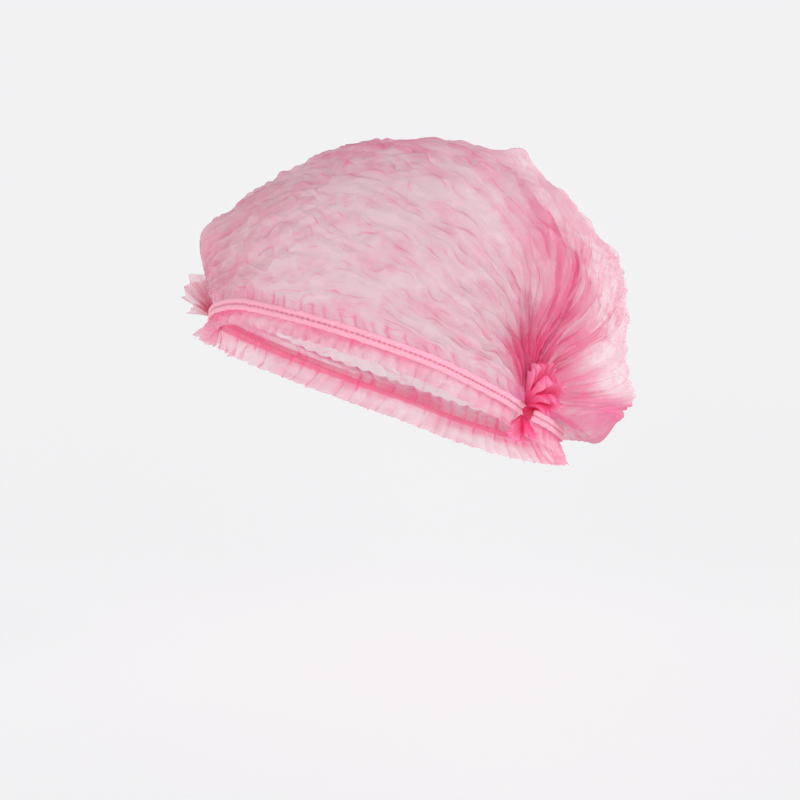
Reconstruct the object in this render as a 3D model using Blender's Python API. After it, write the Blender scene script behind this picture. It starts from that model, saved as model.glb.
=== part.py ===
"""Disposable clip cap: a pleated non-woven cap with a double elastic and two welded ends.

The face side is -Y, the wearer's left is +X and up is +Z. The origin is the point
under the crown where the cap rests, so everything else lies below or around it.
"""

from collections import namedtuple
import math

import bmesh
import bpy
from mathutils import Vector

# The hollow that the cap fits, in metres
HOLLOW_WIDTH = 0.155
HOLLOW_LENGTH = 0.200
HOLLOW_RISE = 0.095
HOLLOW_FALL = 0.170
NAPE_DROP = 0.166

# Cloth, elastic and the gaps between the pieces
CROWN_WALL = 0.0012
FRILL_WALL = 0.0010
CLOTH_STAND_OFF = 0.0010
PIECE_GAP = 0.0003
ELASTIC_HEIGHT = 0.0060
ELASTIC_THICKNESS = 0.0015

# Fullness of the cloth
FULLNESS = 0.034
FRILL_DEPTH = 0.0140
FRILL_FLARE = 0.0110
FRILL_WAVE = 0.0012
FRILL_SCALLOP = 0.0011
GATHERS = 72
GATHER_RISE = 0.0013
GATHER_REACH = 0.0150
CUFF_RISE = 0.0002
SAG = 0.0100
SAG_MIDDLE = 0.5
SAG_REACH = 0.34
FOLDS = 11
FOLD_RISE = 0.0022
FOLD_FIRMNESS = 0.45
CRUMPLE_RISE = 0.0030
CRUMPLE_WIDTH = 0.084
CRUMPLE_LENGTH = 0.092
CRUMPLE_HEIGHT = 0.130

# The two welded ends, by azimuth from the front towards +X
LEFT_END_AZIMUTH = 97.5
RIGHT_END_AZIMUTH = 307.5
WELD_WIDTH = 0.0052
END_PLEATS = 6

# Fineness of the faceted cloth
COLUMNS = 8 * round(GATHERS / 4)
PROFILE_STEPS = 120
PROFILE_POWER = 1.6
SMALL_TURN = 0.5
FULL_TURN = 360.0
SHARP_ANGLE = math.radians(50.0)

# Rings of the crown just above the elastic: their height as a share of GATHER_REACH, and the
# gathers' rise as a share of GATHER_RISE. Between gathers the cloth dips by a share of that.
GATHER_DIP = 0.4
GatherRow = namedtuple("GatherRow", "height rise")
GATHER_ROWS = (
    GatherRow(0.0, 0.6),
    GatherRow(0.22, 1.0),
    GatherRow(0.58, 0.7),
    GatherRow(1.0, 0.15),
)

# Rings above them: height as a share of what is left, and how many columns each step skips
UpperRow = namedtuple("UpperRow", "height skip")
UPPER_ROWS = (
    UpperRow(0.05, 2),
    UpperRow(0.11, 2),
    UpperRow(0.18, 2),
    UpperRow(0.26, 2),
    UpperRow(0.34, 2),
    UpperRow(0.43, 2),
    UpperRow(0.52, 2),
    UpperRow(0.61, 2),
    UpperRow(0.70, 2),
    UpperRow(0.79, 4),
    UpperRow(0.87, 4),
    UpperRow(0.94, 8),
)

# Share of the way from the crown's top to its cuff at which each column of SECTIONS holds
STATIONS = {"brow": 0.25, "shoulder": 0.45, "side": 0.68, "belly": 0.87, "low": 0.97}

# One row for each direction round the cap. band is the elastic's drop as a share of NAPE_DROP,
# depth and flare are the frill's as shares of FRILL_DEPTH and FRILL_FLARE, sag is how far the
# loose cloth hangs over the elastic as a share of SAG, and the rest is how far the cloth
# stands out from the hollow, as a share of FULLNESS.
Section = namedtuple("Section", "azimuth band depth flare sag low belly side shoulder brow")
SECTIONS = sorted((
    Section(0.0, 0.408, 0.72, 0.14, 0.0, 0.05, 0.08, 0.10, 0.08, 0.05),
    Section(30.0, 0.437, 0.72, 0.14, 0.0, 0.05, 0.08, 0.10, 0.10, 0.06),
    Section(60.0, 0.536, 0.74, 0.14, 0.0, 0.05, 0.10, 0.15, 0.16, 0.10),
    Section(85.0, 0.676, 0.78, 0.16, 0.0, 0.05, 0.11, 0.23, 0.24, 0.15),
    Section(LEFT_END_AZIMUTH, 0.754, 0.80, 0.20, 0.0, 0.04, 0.08, 0.32, 0.31, 0.19),
    Section(LEFT_END_AZIMUTH + 10.0, 0.804, 0.82, 0.30, 0.2, 0.12, 0.24, 0.50, 0.35, 0.20),
    Section(120.0, 0.861, 0.90, 0.70, 0.8, 0.60, 0.74, 0.68, 0.38, 0.21),
    Section(135.0, 0.916, 1.00, 1.00, 1.0, 0.91, 0.85, 0.73, 0.41, 0.23),
    Section(158.0, 0.970, 1.00, 1.00, 1.0, 0.90, 0.84, 0.70, 0.36, 0.19),
    Section(180.0, 1.000, 1.00, 0.90, 1.0, 0.90, 0.86, 0.68, 0.33, 0.16),
    Section(205.0, 0.976, 1.00, 0.90, 1.0, 0.80, 0.88, 0.68, 0.31, 0.14),
    Section(230.0, 0.898, 0.94, 0.80, 0.9, 0.66, 0.80, 0.62, 0.27, 0.11),
    Section(255.0, 0.795, 0.88, 0.60, 0.4, 0.38, 0.60, 0.48, 0.20, 0.08),
    Section(280.0, 0.672, 0.86, 0.50, 0.0, 0.16, 0.34, 0.34, 0.14, 0.06),
    Section(RIGHT_END_AZIMUTH, 0.545, 0.90, 0.42, 0.0, 0.05, 0.22, 0.32, 0.12, 0.06),
    Section(322.0, 0.500, 0.88, 0.50, 0.0, 0.08, 0.20, 0.26, 0.12, 0.06),
    Section(340.0, 0.441, 0.78, 0.25, 0.0, 0.05, 0.11, 0.14, 0.10, 0.06),
))

# Puffs that stand out of the crown: where, how wide, and how far as a share of FULLNESS
Billow = namedtuple("Billow", "azimuth station half_angle half_share rise")
BILLOWS = (
    Billow(314.0, 0.78, 21.0, 0.15, 0.25),
    Billow(138.0, 0.34, 18.0, 0.11, 0.24),
    Billow(132.0, 0.66, 11.0, 0.07, 0.10),
    Billow(152.0, 0.84, 13.0, 0.09, 0.10),
    Billow(20.0, 0.30, 18.0, 0.10, 0.04),
    Billow(75.0, 0.42, 15.0, 0.10, 0.06),
    Billow(190.0, 0.60, 16.0, 0.10, 0.10),
    Billow(222.0, 0.78, 14.0, 0.10, 0.12),
    Billow(246.0, 0.45, 15.0, 0.10, 0.06),
    Billow(278.0, 0.74, 12.0, 0.09, 0.12),
)

# Section of the elastic: height as a share of half its height, stand as a share of its thickness
ElasticPoint = namedtuple("ElasticPoint", "height stand")
ELASTIC_SECTION = (
    ElasticPoint(-1.0, 0.0),
    ElasticPoint(-1.0, 0.6),
    ElasticPoint(-0.63, 1.0),
    ElasticPoint(-0.26, 0.8),
    ElasticPoint(0.0, 0.45),
    ElasticPoint(0.26, 0.8),
    ElasticPoint(0.63, 1.0),
    ElasticPoint(1.0, 0.6),
    ElasticPoint(1.0, 0.0),
)

# The frill from the elastic to its hem: depth as a share of what hangs free, and how far the
# flare and the waves have grown
FrillRow = namedtuple("FrillRow", "depth flare wave")
FRILL_ROWS = (
    FrillRow(0.0, 0.0, 0.0),
    FrillRow(0.45, 0.35, 0.7),
    FrillRow(1.0, 1.0, 1.0),
)

# A welded end from its lower tips over the weld to its upper tips. lobe is -1 below the weld,
# 0 on it and 1 above it. The rest is shares: rise of END_RISE beyond the weld, spread from
# the weld's width to END_SPREAD, stand of END_STAND, pleat of END_PLEAT, rag of END_RAG.
END_RISE = 0.020
END_SPREAD = 0.010
END_STAND = 0.014
END_STAND_FALL = 0.2
END_PLEAT = 0.0045
END_RAG = 0.0022
END_WALL = 0.0011
EndRow = namedtuple("EndRow", "lobe rise spread stand pleat rag")
END_ROWS = (
    EndRow(-1, 0.45, 0.66, 0.06, 0.80, 1.0),
    EndRow(-1, 0.23, 0.42, 0.05, 0.60, 0.4),
    EndRow(-1, 0.0, 0.0, 0.04, 0.12, 0.0),
    EndRow(0, 0.0, 0.0, 0.0, 0.08, 0.0),
    EndRow(1, 0.0, 0.0, 0.08, 0.12, 0.0),
    EndRow(1, 0.23, 0.50, 0.42, 0.50, 0.2),
    EndRow(1, 0.51, 0.75, 0.66, 0.75, 0.5),
    EndRow(1, 0.76, 0.90, 0.80, 0.90, 0.6),
    EndRow(1, 0.97, 1.0, 0.78, 1.0, 1.0),
)

# Each welded end: where it is, how far its middle and its back edge stand out, as shares of
# END_STAND, and how far its upper tips lean to the face, as a share of their height
WeldedEnd = namedtuple("WeldedEnd", "name azimuth stand tilt lean")
WELDED_ENDS = (
    WeldedEnd("left_welded_end", LEFT_END_AZIMUTH, 0.70, 0.15, 0.45),
    WeldedEnd("right_welded_end", RIGHT_END_AZIMUTH, 1.25, 0.0, 0.0),
)


def eased(rows, key, column, at, turn=None):
    """Value of a table's column at a place, on a smooth curve through its rows."""
    keys = [getattr(row, key) for row in rows]
    values = [getattr(row, column) for row in rows]
    if turn:
        keys = [keys[-1] - turn] + keys + [keys[0] + turn, keys[1] + turn]
        values = [values[-1]] + values + [values[0], values[1]]
        at = keys[1] + (at - keys[1]) % turn
    return curve_value(keys, values, at)


def curve_value(keys, values, at):
    """Smooth curve through values at rising keys, without overshoot of its slopes."""
    last = len(keys) - 2
    i = max(0, min(last, sum(1 for k in keys if k <= at) - 1))
    span = keys[i + 1] - keys[i]
    share = (at - keys[i]) / span
    slopes = []
    for j in (i, i + 1):
        before, after = max(0, j - 1), min(len(keys) - 1, j + 1)
        slopes.append((values[after] - values[before]) / (keys[after] - keys[before]))
    h = share * share * (3.0 - 2.0 * share)
    bend = share * (1.0 - share) ** 2 * span * slopes[0] - share ** 2 * (1.0 - share) * span * slopes[1]
    return values[i] * (1.0 - h) + values[i + 1] * h + bend


def smooth_step(value):
    """0 below 0, 1 above 1, and an even blend between."""
    value = max(0.0, min(1.0, value))
    return value * value * (3.0 - 2.0 * value)


def bump(offset, reach):
    """1 at the middle, falling smoothly to 0 at the reach."""
    return smooth_step(1.0 - abs(offset) / reach)


def turn_between(a, b):
    """Smallest turn from azimuth b to azimuth a."""
    return (a - b + FULL_TURN / 2.0) % FULL_TURN - FULL_TURN / 2.0


def hollow_point(azimuth, drop):
    """Point of the hollow's surface below the seat."""
    height = HOLLOW_RISE if drop < HOLLOW_RISE else HOLLOW_FALL
    share = math.sqrt(max(0.0, 1.0 - ((drop - HOLLOW_RISE) / height) ** 2))
    turn = math.radians(azimuth)
    x = HOLLOW_WIDTH / 2.0 * share * math.sin(turn)
    y = -HOLLOW_LENGTH / 2.0 * share * math.cos(turn)
    return Vector((x, y, -drop))


def hollow_normal(point):
    """Direction straight out of the hollow at a point of its surface."""
    height = HOLLOW_RISE if -point.z < HOLLOW_RISE else HOLLOW_FALL
    x = point.x / (HOLLOW_WIDTH / 2.0) ** 2
    y = point.y / (HOLLOW_LENGTH / 2.0) ** 2
    return Vector((x, y, (point.z + HOLLOW_RISE) / height ** 2)).normalized()


def drop_of_angle(angle):
    """Drop at an angle from the seat: a quarter turn reaches the widest level."""
    if angle < math.pi / 2.0:
        return HOLLOW_RISE * (1.0 - math.cos(angle))
    return HOLLOW_RISE + HOLLOW_FALL * math.sin(angle - math.pi / 2.0)


def angle_of_drop(drop):
    """The angle that drop_of_angle turns into this drop."""
    if drop < HOLLOW_RISE:
        return math.acos(1.0 - drop / HOLLOW_RISE)
    return math.pi / 2.0 + math.asin((drop - HOLLOW_RISE) / HOLLOW_FALL)


def section_value(column, azimuth):
    """A column of SECTIONS at any azimuth."""
    return eased(SECTIONS, "azimuth", column, azimuth, FULL_TURN)


def band_drop(azimuth):
    """Drop of the elastic's middle line."""
    return NAPE_DROP * section_value("band", azimuth)


def band_frame(azimuth):
    """The elastic's middle line on the hollow, with its directions along, up and out."""
    before = hollow_point(azimuth - SMALL_TURN, band_drop(azimuth - SMALL_TURN))
    after = hollow_point(azimuth + SMALL_TURN, band_drop(azimuth + SMALL_TURN))
    point = hollow_point(azimuth, band_drop(azimuth))
    out = hollow_normal(point)
    along = (after - before).normalized()
    up = out.cross(along).normalized()
    return point, along, up, out


def on_band(azimuth, rise, stand):
    """Point at a height above the elastic's middle line and a distance out from the hollow."""
    point, _, up, out = band_frame(azimuth)
    return point + up * rise + out * stand


def cloth_out(azimuth, share):
    """How far the crown's cloth stands out of the hollow, from the top (0) to the cuff (1)."""
    names = sorted(STATIONS, key=STATIONS.get)
    keys = [0.0] + [STATIONS[name] for name in names] + [1.0]
    stand = CLOTH_STAND_OFF / FULLNESS
    values = [0.0] + [section_value(name, azimuth) for name in names] + [stand]
    out = curve_value(keys, values, share)
    for b in BILLOWS:
        across = bump(turn_between(azimuth, b.azimuth), b.half_angle)
        out += b.rise * across * bump(share - b.station, b.half_share)
    return out * FULLNESS


def fold_rise(point, looseness):
    """Long folds that run from one welded end to the other, and soft crumples of loose cloth."""
    left = hollow_point(LEFT_END_AZIMUTH, band_drop(LEFT_END_AZIMUTH))
    right = hollow_point(RIGHT_END_AZIMUTH, band_drop(RIGHT_END_AZIMUTH))
    axis = (right - left).normalized()
    from_left = point - left
    along = from_left.dot(axis) / (right - left).length
    side = from_left - axis * from_left.dot(axis)
    front = Vector((0.0, 0.0, 1.0)).cross(axis)
    turn = math.atan2(side.dot(front.normalized()), side.z)
    sway = 0.9 * math.sin(5.0 * along + 1.0) + 0.5 * math.sin(11.0 * along)
    fade = smooth_step(4.0 * along) * smooth_step(4.0 * (1.0 - along))
    fold = math.cos(2.0 * FOLDS * turn + sway) * FOLD_RISE * fade
    lean = point.z / CRUMPLE_HEIGHT
    wave = math.sin(math.tau * (point.x / CRUMPLE_WIDTH + lean))
    wave *= math.cos(math.tau * (point.y / CRUMPLE_LENGTH - lean))
    firm = FOLD_FIRMNESS + (1.0 - FOLD_FIRMNESS) * looseness
    return fold * firm + wave * CRUMPLE_RISE * looseness


def cloth_sag(azimuth, share):
    """How far the loose cloth hangs down just outside the elastic."""
    way = (1.0 - share) / (1.0 - STATIONS["low"])
    return SAG * section_value("sag", azimuth) * bump(way - SAG_MIDDLE, SAG_REACH)


def crown_profile(azimuth):
    """Points up one side of the crown's inner face, from just above the elastic to the top."""
    _, _, up, _ = band_frame(azimuth)
    clear = ELASTIC_HEIGHT / 2.0 + PIECE_GAP + CROWN_WALL + GATHER_RISE * GATHER_DIP
    low_angle = angle_of_drop(band_drop(azimuth) - clear / up.z)
    points = []
    for i in range(PROFILE_STEPS + 1):
        share = 1.0 - (i / PROFILE_STEPS) ** PROFILE_POWER
        base = hollow_point(azimuth, drop_of_angle(low_angle * share))
        normal = hollow_normal(base) if i < PROFILE_STEPS else Vector((0.0, 0.0, 1.0))
        place = base + normal * cloth_out(azimuth, share)
        place.z -= cloth_sag(azimuth, share)
        points.append((place, share))
    return points


def walk(points, length):
    """Place on a profile at a length from its start, with its direction and its share."""
    gone = 0.0
    for (a, share_a), (b, share_b) in zip(points, points[1:]):
        piece = (b - a).length
        if gone + piece >= length:
            t = (length - gone) / piece
            return a.lerp(b, t), (b - a).normalized(), share_a + (share_b - share_a) * t
        gone += piece
    return points[-1][0], (points[-1][0] - points[-2][0]).normalized(), 0.0


def crown_rings():
    """Rings of the crown's inner face, each point with the direction of its wall."""
    profiles = [crown_profile(FULL_TURN * i / COLUMNS) for i in range(COLUMNS)]
    lengths = [sum((b[0] - a[0]).length for a, b in zip(p, p[1:])) for p in profiles]
    rings = [cuff_ring(PIECE_GAP / 2.0), cuff_ring(ELASTIC_HEIGHT / 2.0 + PIECE_GAP)]
    for row in GATHER_ROWS:
        rings.append([crown_point(profiles[i], i, GATHER_REACH * row.height, row.rise)
                      for i in range(COLUMNS)])
    for row in UPPER_ROWS:
        reach = [GATHER_REACH + (length - GATHER_REACH) * row.height for length in lengths]
        rings.append([crown_point(profiles[i], i, reach[i], 0.0) for i in range(0, COLUMNS, row.skip)])
    return rings


def crown_point(profile, column, length, gather):
    """One point of the crown's inner face with its gather and folds, and its wall's direction."""
    azimuth = FULL_TURN * column / COLUMNS
    place, direction, share = walk(profile, length)
    turn = math.radians(azimuth)
    out = Vector((math.cos(turn), math.sin(turn), 0.0)).cross(direction).normalized()
    _, _, _, band_out = band_frame(azimuth)
    out = band_out.lerp(out, smooth_step(0.5 + length / GATHER_REACH)).normalized()
    rise = GATHER_RISE * gather * (1.0 if column % 2 else -GATHER_DIP)
    looseness = cloth_out(azimuth, share) / FULLNESS
    calm = smooth_step(length / GATHER_REACH - 0.3) * smooth_step(share / 0.2)
    rise += fold_rise(place, looseness) * calm
    return place + out * rise, out


def cuff_ring(height):
    """A ring of the crown that lies under the elastic, at a height above its middle line."""
    ring = []
    for i in range(COLUMNS):
        azimuth = FULL_TURN * i / COLUMNS
        _, _, up, out = band_frame(azimuth)
        wave = CUFF_RISE * (1.0 if i % 2 else 0.0)
        base = hollow_point(azimuth, band_drop(azimuth) - height / up.z)
        ring.append((base + out * (CLOTH_STAND_OFF + wave), out))
    return ring


def loft(name, loops, colour, roughness):
    """One closed body through closed loops of points, capped at both ends."""
    mesh = bpy.data.meshes.new(name)
    bm = bmesh.new()
    corners = [bm.verts.new(p) for p in loops[0]]
    edges = [bm.edges.new((corners[i - 1], corners[i])) for i in range(len(corners))]
    first = edges
    for before, loop in zip(loops, loops[1:]):
        if len(loop) == len(before):
            made = bmesh.ops.extrude_edge_only(bm, edges=edges)["geom"]
            new_corners = {v for v in made if isinstance(v, bmesh.types.BMVert)}
            linked = [next(e.other_vert(v) for e in v.link_edges if e.other_vert(v) in new_corners)
                      for v in corners]
            for corner, place in zip(linked, loop):
                corner.co = place
            edges = [e for e in made if isinstance(e, bmesh.types.BMEdge)
                     and e.verts[0] in new_corners and e.verts[1] in new_corners]
            corners = linked
        else:
            corners = [bm.verts.new(p) for p in loop]
            new_edges = [bm.edges.new((corners[i - 1], corners[i])) for i in range(len(corners))]
            bmesh.ops.bridge_loops(bm, edges=edges + new_edges)
            edges = new_edges
    bmesh.ops.contextual_create(bm, geom=first)
    bmesh.ops.contextual_create(bm, geom=edges)
    bmesh.ops.recalc_face_normals(bm, faces=bm.faces)
    bm.to_mesh(mesh)
    bm.free()
    mesh.shade_smooth()
    mesh.set_sharp_from_angle(angle=SHARP_ANGLE)
    piece = bpy.data.objects.new(name, mesh)
    bpy.context.collection.objects.link(piece)
    mesh.materials.append(finish(name + "_finish", colour, roughness))
    return piece


def finish(name, colour, roughness):
    """Plain material of one piece."""
    material = bpy.data.materials.new(name)
    material.use_nodes = True
    shader = material.node_tree.nodes["Principled BSDF"]
    shader.inputs["Base Color"].default_value = (*colour, 1.0)
    shader.inputs["Roughness"].default_value = roughness
    shader.inputs["Metallic"].default_value = 0.0
    return material


def build_crown():
    """The crown: one hollow shell of cloth, gathered at its cuff."""
    rings = crown_rings()
    inner = [[place for place, _ in ring] for ring in rings]
    outer = [[place + out * CROWN_WALL for place, out in ring] for ring in rings]
    return loft("crown", inner[::-1] + outer, (0.80, 0.45, 0.53), 0.9)


def run_azimuths(start, end, count):
    """Azimuths that divide one run of the band evenly."""
    return [start + (end - start) * i / count for i in range(count + 1)]


def run_columns(start, end):
    """An even number of columns for one run, at the gathers' spacing."""
    return 2 * round((end - start) / FULL_TURN * GATHERS)


def weld_half_angle(azimuth, width):
    """Half of the turn that a width along the band takes up."""
    before, _, _, _ = band_frame(azimuth - SMALL_TURN)
    after, _, _, _ = band_frame(azimuth + SMALL_TURN)
    return width * SMALL_TURN / (after - before).length


def elastic_seat():
    """How far out of the hollow the elastic's inner face lies, over the cloth."""
    return CLOTH_STAND_OFF + max(CROWN_WALL, FRILL_WALL) + CUFF_RISE + PIECE_GAP


def frill_out(azimuth, depth, swing):
    """How far the frill's inner face stands out at a depth, on a gather (1) or between (0)."""
    under = ELASTIC_HEIGHT / 2.0 + PIECE_GAP
    hem = FRILL_DEPTH * section_value("depth", azimuth)
    share = max(0.0, (depth - under) / (hem - under))
    last = len(FRILL_ROWS) - 2
    i = min(last, sum(1 for row in FRILL_ROWS if row.depth <= share) - 1)
    a, b = FRILL_ROWS[i], FRILL_ROWS[i + 1]
    t = (share - a.depth) / (b.depth - a.depth)
    flare = FRILL_FLARE * section_value("flare", azimuth) * (a.flare + (b.flare - a.flare) * t)
    wave = FRILL_WAVE * (a.wave + (b.wave - a.wave) * t)
    return CLOTH_STAND_OFF + flare + (CUFF_RISE + wave) * swing


def build_frill(name, start, end):
    """One run of the gathered frill below the elastic, with a scalloped edge."""
    under = ELASTIC_HEIGHT / 2.0 + PIECE_GAP
    count = run_columns(start, end)
    loops = []
    for i, azimuth in enumerate(run_azimuths(start, end, count)):
        hem = FRILL_DEPTH * section_value("depth", azimuth)
        rag = FRILL_SCALLOP * (math.sin(2.4 * i) + (1.0 if i % 2 else -1.0)) / 2.0
        depths = [PIECE_GAP / 2.0] + [under + (hem - under) * row.depth for row in FRILL_ROWS]
        inner, outer = [], []
        for depth in depths:
            rise = -depth - (rag if depth == depths[-1] else 0.0)
            out = frill_out(azimuth, depth, i % 2)
            inner.append(on_band(azimuth, rise, out))
            outer.append(on_band(azimuth, rise, out + FRILL_WALL))
        loops.append(inner + outer[::-1])
    return loft(name, loops, (0.86, 0.36, 0.48), 0.9)


def build_elastic(name, start, end):
    """One run of the double elastic: two ridges with a stitched valley between them."""
    count = run_columns(start, end) // 2
    half = ELASTIC_HEIGHT / 2.0
    loops = []
    for azimuth in run_azimuths(start, end, count):
        loops.append([on_band(azimuth, p.height * half, elastic_seat() + p.stand * ELASTIC_THICKNESS)
                      for p in ELASTIC_SECTION])
    return loft(name, loops, (0.90, 0.42, 0.53), 0.7)


def build_welded_end(end):
    """The pleated end of the cloth: pinched at its weld and fanned out above and below."""
    point, _, up, out = band_frame(end.azimuth)
    upright = Vector((0.0, -end.lean, 1.0))
    upright = (upright - out * out.dot(upright)).normalized()
    weld = ELASTIC_HEIGHT / 2.0 + 2.0 * PIECE_GAP
    creases = 2 * END_PLEATS
    loops = []
    for row in END_ROWS:
        height = row.lobe * (weld + END_RISE * row.rise)
        seat = elastic_seat()
        if row.lobe < 0:
            seat = max(seat, frill_out(end.azimuth, -height, 1.0) + FRILL_WALL + 2.0 * PIECE_GAP)
        rise = up.lerp(upright, smooth_step(2.0 * row.rise * max(0, row.lobe))).normalized()
        across = rise.cross(out)
        half = WELD_WIDTH / 2.0 + (END_SPREAD - WELD_WIDTH / 2.0) * row.spread
        inner, outer = [], []
        for i in range(creases + 1):
            side = 1.0 - 2.0 * i / creases
            rag = END_RAG * row.rag * row.lobe * math.sin(2.7 * i + 0.8)
            pleat = END_PLEAT * row.pleat * (i % 2)
            lean = end.stand * (1.0 - END_STAND_FALL * side * side)
            lean += end.tilt * max(0.0, side) * row.spread
            place = point - across * (half * side) + rise * (height + rag)
            place = place + out * (seat + END_STAND * row.stand * lean + pleat)
            inner.append(place)
            outer.append(place + out * END_WALL)
        loops.append(inner + outer[::-1])
    return loft(end.name, loops, (0.90, 0.09, 0.22), 0.85)


def build_cap():
    """Every piece of the cap."""
    left = weld_half_angle(LEFT_END_AZIMUTH, WELD_WIDTH + 2.0 * PIECE_GAP)
    right = weld_half_angle(RIGHT_END_AZIMUTH, WELD_WIDTH + 2.0 * PIECE_GAP)
    front = (RIGHT_END_AZIMUTH - FULL_TURN + right, LEFT_END_AZIMUTH - left)
    back = (LEFT_END_AZIMUTH + left, RIGHT_END_AZIMUTH - right)
    build_crown()
    build_frill("front_frill", *front)
    build_frill("back_frill", *back)
    build_elastic("front_elastic", *front)
    build_elastic("back_elastic", *back)
    for end in WELDED_ENDS:
        build_welded_end(end)


for leftover in list(bpy.data.objects):
    bpy.data.objects.remove(leftover, do_unlink=True)
build_cap()
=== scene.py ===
"""Disposable clip cap: spunbond crown, gathered frills, double elastic and two welded ends.

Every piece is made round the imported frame, in its axes: the face side is -Y, the wearer's
left is +X and up is +Z. Lengths are in metres and azimuths in degrees from the front to +X.
"""

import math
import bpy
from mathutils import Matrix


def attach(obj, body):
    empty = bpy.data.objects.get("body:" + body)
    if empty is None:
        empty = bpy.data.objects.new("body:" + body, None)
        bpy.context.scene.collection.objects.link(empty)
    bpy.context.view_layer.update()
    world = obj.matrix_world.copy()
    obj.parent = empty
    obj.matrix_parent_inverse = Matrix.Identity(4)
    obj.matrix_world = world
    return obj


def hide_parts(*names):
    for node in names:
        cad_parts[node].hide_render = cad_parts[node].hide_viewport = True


bl_info = {
    "name": "Disposable Clip Cap",
    "version": (1, 0, 0),
    "blender": (4, 5, 0),
    "location": "View3D > Sidebar > Clip Cap",
    "description": "Builds a pleated non-woven cap from its sizes and colours",
    "category": "Add Mesh",
}

from collections import namedtuple

import bmesh
import bpy
import numpy as np

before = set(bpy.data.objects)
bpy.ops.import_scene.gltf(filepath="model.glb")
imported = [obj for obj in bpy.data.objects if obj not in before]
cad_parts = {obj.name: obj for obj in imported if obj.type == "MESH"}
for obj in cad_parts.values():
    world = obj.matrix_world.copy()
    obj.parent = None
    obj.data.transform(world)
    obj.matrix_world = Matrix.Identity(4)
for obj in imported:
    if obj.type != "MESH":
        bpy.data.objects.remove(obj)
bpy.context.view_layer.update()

# The hollow that the cap fits
HOLLOW_WIDTH = 0.155
HOLLOW_LENGTH = 0.200
HOLLOW_RISE = 0.095
HOLLOW_FALL = 0.170
NAPE_DROP = 0.166

# Cloth and elastic
CROWN_WALL = 0.0012
FRILL_WALL = 0.0010
STAND_OFF = 0.0010
PIECE_GAP = 0.0003
CUFF_RISE = 0.0002
CROWN_CLEAR = 0.0005
ELASTIC_HEIGHT = 0.0060
ELASTIC_THICKNESS = 0.0015
FULLNESS = 0.034
FRILL_DEPTH = 0.0140
FRILL_FLARE = 0.0110
GATHERS = 72
SAG = 0.0100
SAG_MIDDLE = 0.5
SAG_REACH = 0.34
LEFT_END = 97.5
RIGHT_END = 307.5
WELD_WIDTH = 0.0052

TURN = 360.0
SMALL_TURN = 0.5
STATIONS = {"brow": 0.25, "shoulder": 0.45, "side": 0.68, "belly": 0.87, "low": 0.97}

# The same sections as the frame's: the elastic's drop, the frill's depth and flare, the sag,
# and how far the cloth stands out of the hollow at each station
SECTION_COLUMNS = "azimuth band depth flare sag low belly side shoulder brow"
Section = namedtuple("Section", SECTION_COLUMNS)
SECTIONS = (
    Section(0.0, 0.408, 0.72, 0.14, 0.0, 0.05, 0.08, 0.10, 0.08, 0.05),
    Section(30.0, 0.437, 0.72, 0.14, 0.0, 0.05, 0.08, 0.10, 0.10, 0.06),
    Section(60.0, 0.536, 0.74, 0.14, 0.0, 0.05, 0.10, 0.15, 0.16, 0.10),
    Section(85.0, 0.676, 0.78, 0.16, 0.0, 0.05, 0.11, 0.23, 0.24, 0.15),
    Section(LEFT_END, 0.754, 0.80, 0.20, 0.0, 0.04, 0.08, 0.32, 0.31, 0.19),
    Section(LEFT_END + 10.0, 0.804, 0.82, 0.30, 0.2, 0.12, 0.24, 0.50, 0.35, 0.20),
    Section(120.0, 0.861, 0.90, 0.70, 0.8, 0.60, 0.74, 0.68, 0.38, 0.21),
    Section(135.0, 0.916, 1.00, 1.00, 1.0, 0.91, 0.85, 0.73, 0.41, 0.23),
    Section(158.0, 0.970, 1.00, 1.00, 1.0, 0.90, 0.84, 0.70, 0.36, 0.19),
    Section(180.0, 1.000, 1.00, 0.90, 1.0, 0.90, 0.86, 0.68, 0.33, 0.16),
    Section(205.0, 0.976, 1.00, 0.90, 1.0, 0.80, 0.88, 0.68, 0.31, 0.14),
    Section(230.0, 0.898, 0.94, 0.80, 0.9, 0.66, 0.80, 0.62, 0.27, 0.11),
    Section(255.0, 0.795, 0.88, 0.60, 0.4, 0.38, 0.60, 0.48, 0.20, 0.08),
    Section(280.0, 0.672, 0.86, 0.50, 0.0, 0.16, 0.34, 0.34, 0.14, 0.06),
    Section(RIGHT_END, 0.545, 0.90, 0.42, 0.0, 0.05, 0.22, 0.32, 0.12, 0.06),
    Section(322.0, 0.500, 0.88, 0.50, 0.0, 0.08, 0.20, 0.26, 0.12, 0.06),
    Section(340.0, 0.441, 0.78, 0.25, 0.0, 0.05, 0.11, 0.14, 0.10, 0.06),
)
Billow = namedtuple("Billow", "azimuth station half_angle half_share rise")
BILLOWS = (
    Billow(314.0, 0.78, 21.0, 0.15, 0.25),
    Billow(138.0, 0.34, 18.0, 0.11, 0.24),
    Billow(132.0, 0.66, 11.0, 0.07, 0.10),
    Billow(152.0, 0.84, 13.0, 0.09, 0.10),
    Billow(20.0, 0.30, 18.0, 0.10, 0.04),
    Billow(75.0, 0.42, 15.0, 0.10, 0.06),
    Billow(190.0, 0.60, 16.0, 0.10, 0.10),
    Billow(222.0, 0.78, 14.0, 0.10, 0.12),
    Billow(246.0, 0.45, 15.0, 0.10, 0.06),
    Billow(278.0, 0.74, 12.0, 0.09, 0.12),
)

# Fineness of the grids of the crown, the frill and the elastic
CROWN_ALONG = 240
CROWN_ACROSS = 400
CUFF_ROWS = 4
FRILL_COLUMNS = 14
FRILL_ROWS = 20
ELASTIC_COLUMNS = 1100
STRAND_POINTS = 23

# Share of the way to a welded end at which the crown's grid is drawn to one point
PINCH_SHARE = 0.985

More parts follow.
